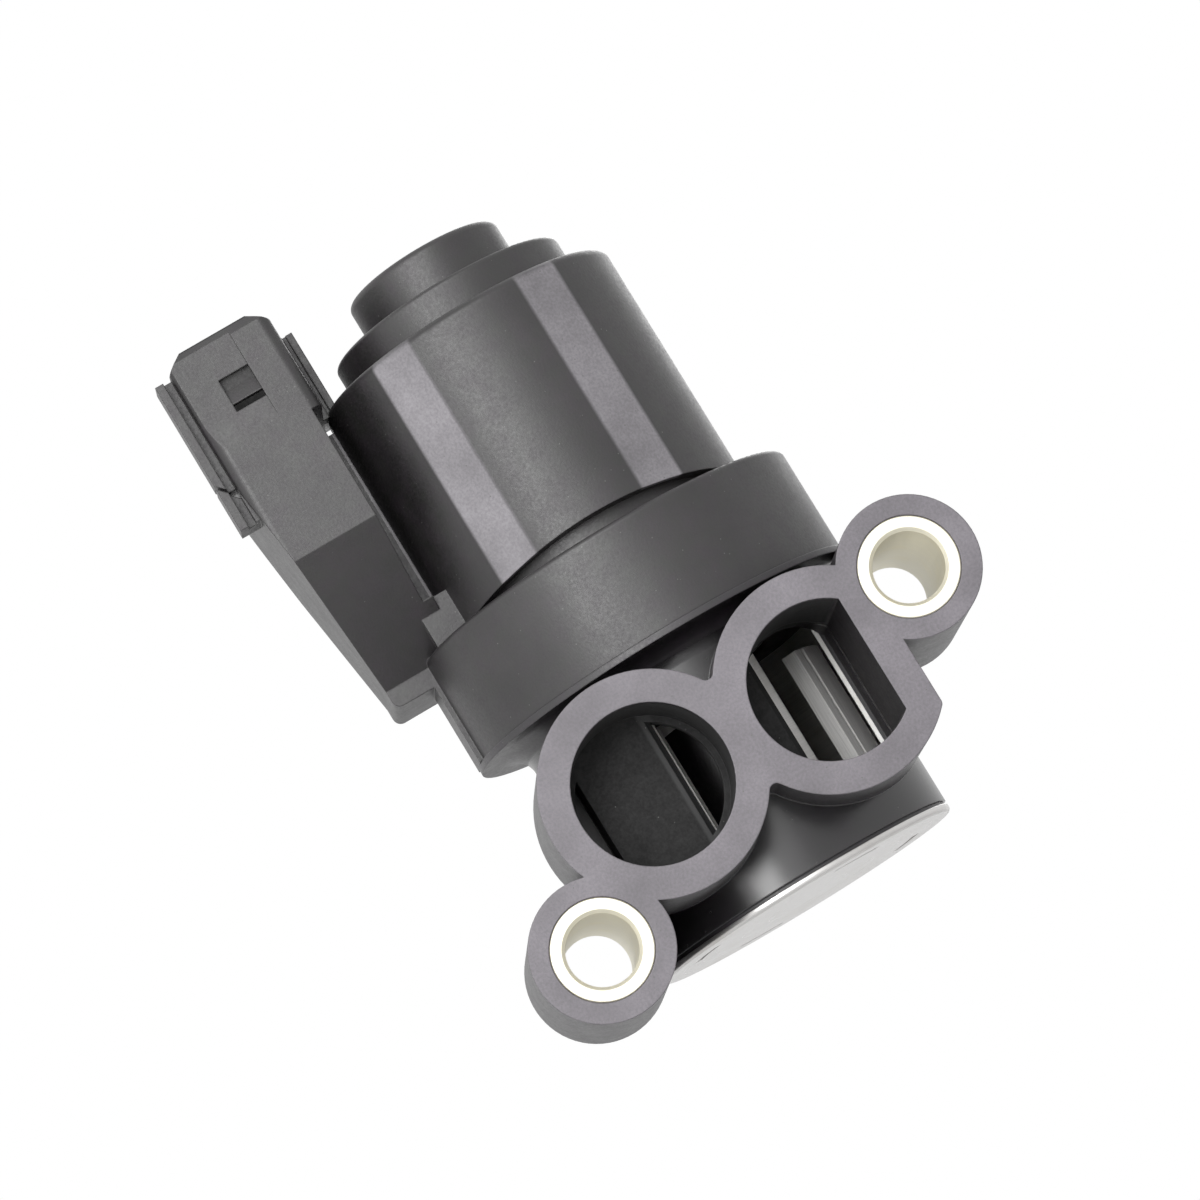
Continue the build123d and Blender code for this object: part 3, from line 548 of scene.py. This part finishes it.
def turned_metal(
    name, tone, roughness, centre=MOTOR_AXIS, tilt=(0.0, 0.0, 0.0), width=METAL_LINE, stain=(0.5, 0.45, 0.35)
):
    """Turned or ground metal: lines about its axis and a faint stain."""
    material, tree, shader = new_material(name)
    place = object_place(tree, centre=centre, tilt=tilt)
    lathe = place_group(tree, "Turned lines", turned_group, Vector=place, Line_Width=width)
    base = mix_colour(tree, ramp(tree, lathe["Lines"], 0.3, 0.7), scaled(tone, 0.86), tone)
    patch = times(tree, ramp(tree, lathe["Stain"], 0.5, 0.75), 0.25)
    base = mix_colour(tree, patch, base, tuple(a * b for a, b in zip(tone, stain)))
    metal(tree, shader, base, lathe["Lines"], roughness, 1.0)
    return material


def brushed_metal(
    name, tone, roughness, tilt=(0.0, 0.0, 0.0), width=METAL_LINE, pitted=0.3, metallic=1.0
):
    """Cast, rolled or stamped metal: straight lines along Z and small pits."""
    material, tree, shader = new_material(name)
    place = object_place(tree, centre=MOTOR_AXIS, tilt=tilt)
    brush = place_group(tree, "Brushed lines", brushed_group, Vector=place, Line_Width=width)
    base = mix_colour(tree, ramp(tree, brush["Lines"], 0.3, 0.7), scaled(tone, 0.82), tone)
    base = mix_colour(tree, times(tree, brush["Pits"], pitted), base, scaled(tone, 0.4))
    metal(tree, shader, base, brush["Lines"], roughness, metallic)
    return material


def rubber(name):
    """Black rubber with a bloom of dust."""
    material, tree, shader = new_material(name)
    skin = moulded_skin(tree, object_place(tree), 0.0004, 0.01)
    bloom = ramp(tree, skin["Flow"], 0.4, 0.7)
    base = mix_colour(tree, bloom, (0.018, 0.018, 0.018), (0.050, 0.049, 0.047))
    surfaced(tree, shader, base, ramp(tree, skin["Grain"], 0.3, 0.7, 0.62, 0.78))
    raised(tree, shader, skin["Grain"], FINE_DEPTH)
    return material


def sintered(name, tone):
    """Sintered ferrite: dark, with fine grains and chips."""
    material, tree, shader = new_material(name)
    skin = moulded_skin(tree, object_place(tree, centre=MOTOR_AXIS), 0.0002, 0.12)
    grain = ramp(tree, skin["Grain"], 0.3, 0.7)
    base = mix_colour(tree, grain, scaled(tone, 0.6), scaled(tone, 1.6))
    base = mix_colour(tree, skin["Specks"], base, (0.16, 0.15, 0.15))
    surfaced(tree, shader, base, ramp(tree, skin["Grain"], 0.3, 0.7, 0.42, 0.6))
    raised(tree, shader, skin["Grain"], FINE_DEPTH)
    return material


def wear(material, *names):
    """Gives a finish to CAD nodes through their own material slots."""
    for name in names:
        piece = frame["nodes"][name]
        if not piece.material_slots:
            piece.data.materials.append(material)
        for slot in piece.material_slots:
            slot.material = material


def surface_piece(name, points):
    """A mesh from a grid of points."""
    rows, columns = points.shape[:2]
    index = np.arange(rows * columns).reshape(rows, columns)
    faces = np.stack([index[:-1, :-1], index[:-1, 1:], index[1:, 1:], index[1:, :-1]], axis=-1)
    mesh = bpy.data.meshes.new(name)
    mesh.from_pydata(points.reshape(-1, 3).tolist(), [], faces.reshape(-1, 4).tolist())
    mesh.update()
    piece = bpy.data.objects.new(name, mesh)
    bpy.context.scene.collection.objects.link(piece)
    return piece


class VALVE_OT_plastics(bpy.types.Operator):
    """Finish the housing, the valve body, the slide's hub and the bobbins"""

    bl_idname = "valve.plastics"
    bl_label = "Moulded plastics"

    def execute(self, context):
        sizes = context.scene.valve_plastics
        rough = sizes.roughness
        housing = plastic("housing plastic", tuple(sizes.housing), sizes, rough, flats=tuple(sizes.flats))
        body = plastic("body plastic", tuple(sizes.body), sizes, rough - 0.02, face=tuple(sizes.face))
        wear(housing, "motor_housing")
        wear(body, "valve_body")
        wear(plastic("hub plastic", tuple(sizes.hub), sizes, 0.5, speck_share=0.0), "slide_hub")
        wear(plastic("bobbin nylon", tuple(sizes.bobbin), sizes, 0.42, speck_share=0.0), *BOBBINS)
        return {"FINISHED"}


class VALVE_OT_seals(bpy.types.Operator):
    """Finish the two round seals and the shaft seal"""

    bl_idname = "valve.seals"
    bl_label = "Rubber seals"

    def execute(self, context):
        wear(rubber("seal rubber"), *SEALS)
        return {"FINISHED"}


class VALVE_OT_bushes(bpy.types.Operator):
    """Finish the two bolt bushes, each turned about its own bolt"""

    bl_idname = "valve.bushes"
    bl_label = "Bolt bushes"

    def execute(self, context):
        tone = tuple(context.scene.valve_metals.bush)
        for node, centre in BUSHES.items():
            name = node.replace("_", " ") + " steel"
            wear(turned_metal(name, tone, 0.50, centre, UPRIGHT, stain=(0.95, 0.9, 0.7)), node)
        return {"FINISHED"}


class VALVE_OT_slide(bpy.types.Operator):
    """Finish the rotary slide, its shaft and what turns with it"""

    bl_idname = "valve.slide"
    bl_label = "Slide and rotor"

    def execute(self, context):
        tones = context.scene.valve_metals
        sizes = context.scene.valve_plastics
        slide = brushed_metal("slide aluminium", tuple(tones.slide), 0.60, pitted=0.2, metallic=0.2)
        wear(slide, "rotary_slide")
        wear(turned_metal("ground steel", tuple(tones.steel), 0.22, width=0.00006), *GROUND_STEELS)
        wear(plastic("magnet stop nylon", (0.10, 0.10, 0.11), sizes, 0.4), *MAGNET_STOPS)
        wear(sintered("ferrite", tuple(tones.magnet)), "rotor_magnet")
        wear(brushed_metal("spring steel", tuple(tones.spring), 0.25, tilt=UPRIGHT), *SPRINGS)
        return {"FINISHED"}


class VALVE_OT_stator(bpy.types.Operator):
    """Finish the bearing plate, sleeve, end cap, iron parts, windings and bearings"""

    bl_idname = "valve.stator"
    bl_label = "Plate, stator and bearings"

    def execute(self, context):
        tones = context.scene.valve_metals
        wear(turned_metal("plate aluminium", tuple(tones.plate), 0.40), "bearing_plate")
        wear(turned_metal("sleeve steel", tuple(tones.sleeve), 0.52), "chamber_sleeve")
        wear(turned_metal("cap steel", tuple(tones.cap), 0.30, width=0.0002), "end_cap")
        wear(turned_metal("soft iron", tuple(tones.iron), 0.45, width=0.0002), *IRONS)
        wear(turned_metal("copper wire", tuple(tones.copper), 0.32, tilt=UPRIGHT), *WINDINGS)
        wear(turned_metal("bearing steel", tuple(tones.bearing), 0.18, width=0.00008), *BEARINGS)
        return {"FINISHED"}


class VALVE_OT_terminals(bpy.types.Operator):
    """Finish the three terminals"""

    bl_idname = "valve.terminals"
    bl_label = "Terminals"

    def execute(self, context):
        tone = tuple(context.scene.valve_metals.terminal)
        wear(brushed_metal("tinned brass", tone, 0.28, width=0.00006), *TERMINALS)
        return {"FINISHED"}


def view_axes(azimuth, elevation, roll):
    """The camera's right, up and back directions, turned by its roll."""
    flat = math.cos(elevation)
    back = Vector((math.sin(azimuth) * flat, -math.cos(azimuth) * flat, math.sin(elevation)))
    level_right = Vector((0.0, 0.0, 1.0)).cross(back).normalized()
    level_up = back.cross(level_right)
    right = math.cos(roll) * level_right + math.sin(roll) * level_up
    up = math.cos(roll) * level_up - math.sin(roll) * level_right
    return right, up, back


def soft_box(name, place, aim, width, brightness):
    """A square soft box with the light of a plain surface: power is pi times area times brightness."""
    light = bpy.data.lights.new(name, "AREA")
    light.size = width
    light.energy = math.pi * width ** 2 * brightness
    lamp = bpy.data.objects.new(name, light)
    lamp.visible_camera = False
    facing = (Vector(place) - Vector(aim)).normalized()
    lamp.matrix_world = Matrix.Translation(place) @ facing.to_track_quat("Z", "Y").to_matrix().to_4x4()
    bpy.context.scene.collection.objects.link(lamp)


def floor_surface(half, height):
    """A flat square grid: x and y run from -half to half, at one height."""
    steps = np.linspace(-half, half, FLOOR_STEPS)
    x, y = np.meshgrid(steps, steps)
    return np.stack([x, y, np.full_like(x, height)], axis=-1)


def shown_rays(tree):
    """1 for rays that show the background: from the camera, off a glossy surface, or through a clear one."""
    path = add_node(tree, "ShaderNodeLightPath").outputs
    passed_on = maths(tree, "MAXIMUM", path["Is Glossy Ray"], path["Is Transmission Ray"])
    return maths(tree, "MAXIMUM", path["Is Camera Ray"], passed_on)


def studio_world(front, rear):
    """White where it is seen or mirrored; as light on the object a glow that grows from front to rear."""
    world = bpy.data.worlds.new("studio")
    world.use_nodes = True
    tree = world.node_tree
    tree.nodes.clear()
    way = add_node(tree, "ShaderNodeTexCoord").outputs["Generated"]
    glow = ramp(tree, dot(tree, way, (0.0, 1.0, 0.0)), *GLOW_RANGE, front, rear)
    strength = ramp(tree, shown_rays(tree), 0.0, 1.0, glow, 1.0)
    sky = add_node(tree, "ShaderNodeBackground", {"Color": (1.0, 1.0, 1.0, 1.0), "Strength": strength})
    surface = tree.nodes.new("ShaderNodeOutputWorld")
    tree.links.new(sky.outputs[0], surface.inputs["Surface"])
    return world


def floor_material(tone):
    """Matte pale paper with a faint fibre, which throws little light back and fades into the white."""
    material, tree, shader = new_material("studio floor")
    fibre = ramp(tree, noise(tree, object_place(tree), 900.0, 3.0), 0.3, 0.7)
    paper = mix_colour(tree, fibre, scaled(tone, 0.985), tone)
    base = mix_colour(tree, shown_rays(tree), scaled(tone, FLOOR_LIGHT), paper)
    tree.links.new(base, shader.inputs["Base Color"])
    shader.inputs["Roughness"].default_value = 0.9
    x, y, _ = place_parts(tree)
    fade = ramp(tree, away_from(tree, x, y, MOTOR_AXIS[:2]), *FLOOR_FADE, smooth=True)
    clear = add_node(tree, "ShaderNodeBsdfTransparent")
    faded = add_node(tree, "ShaderNodeMixShader", {0: fade, 1: shader.outputs[0], 2: clear.outputs[0]})
    surface = next(node for node in tree.nodes if node.type == "OUTPUT_MATERIAL")
    tree.links.new(faded.outputs[0], surface.inputs["Surface"])
    return material


class VALVE_OT_stage(bpy.types.Operator):
    """Set the floor, the lights and the camera"""

    bl_idname = "valve.stage"
    bl_label = "Stage"

    def execute(self, context):
        stage = context.scene.valve_stage
        floor = surface_piece("floor", floor_surface(stage.floor_half, stage.floor_height))
        floor.data.materials.append(floor_material(tuple(stage.floor)))
        floor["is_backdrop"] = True
        context.scene.world = studio_world(stage.front_glow, stage.rear_glow)
        middle = (Vector(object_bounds()[0]) + Vector(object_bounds()[1])) / 2
        brightness = {"key": stage.key, "front": stage.front, "side": stage.side, "rear": stage.rear}
        for name, (offset, width) in SOFT_BOXES.items():
            soft_box(name + " soft box", middle + Vector(offset), middle, width, brightness[name])
        view = bpy.data.cameras.new("photo camera")
        view.sensor_width = 36.0
        view.lens = stage.lens
        view.clip_start = 0.01
        camera = bpy.data.objects.new("photo camera", view)
        right, up, back = view_axes(stage.azimuth, stage.elevation, stage.roll)
        turned = Matrix((right, up, back)).transposed().to_4x4()
        camera.matrix_world = Matrix.Translation(Vector(stage.target) + stage.distance * back) @ turned
        context.scene.collection.objects.link(camera)
        context.scene.camera = camera
        context.scene.view_settings.view_transform = "Standard"
        return {"FINISHED"}


OPERATORS = (
    VALVE_OT_plastics, VALVE_OT_seals, VALVE_OT_bushes, VALVE_OT_slide,
    VALVE_OT_stator, VALVE_OT_terminals, VALVE_OT_stage,
)


class VALVE_PT_panel(bpy.types.Panel):
    """Lists what finishes the valve"""

    bl_idname = "VALVE_PT_panel"
    bl_label = "Idle air valve"
    bl_space_type = "VIEW_3D"
    bl_region_type = "UI"
    bl_category = "Idle Valve"

    def draw(self, context):
        for operator in OPERATORS:
            self.layout.operator(operator.bl_idname)
        scene = context.scene
        for settings in (scene.valve_plastics, scene.valve_metals, scene.valve_stage):
            column = self.layout.column(align=True)
            for name in settings.__annotations__:
                column.prop(settings, name)


SETTINGS = {"valve_plastics": ValvePlastics, "valve_metals": ValveMetals, "valve_stage": ValveStage}
CLASSES = (*SETTINGS.values(), *OPERATORS, VALVE_PT_panel)


def register():
    for entry in CLASSES:
        bpy.utils.register_class(entry)
    for name, settings in SETTINGS.items():
        setattr(bpy.types.Scene, name, bpy.props.PointerProperty(type=settings))


def unregister():
    for name in SETTINGS:
        delattr(bpy.types.Scene, name)
    for entry in reversed(CLASSES):
        bpy.utils.unregister_class(entry)


def main():
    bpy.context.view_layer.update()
    register()
    bpy.ops.valve.plastics()
    bpy.ops.valve.seals()
    bpy.ops.valve.bushes()
    bpy.ops.valve.slide()
    bpy.ops.valve.stator()
    bpy.ops.valve.terminals()
    bpy.ops.valve.stage()


if __name__ == "__main__":
    main()
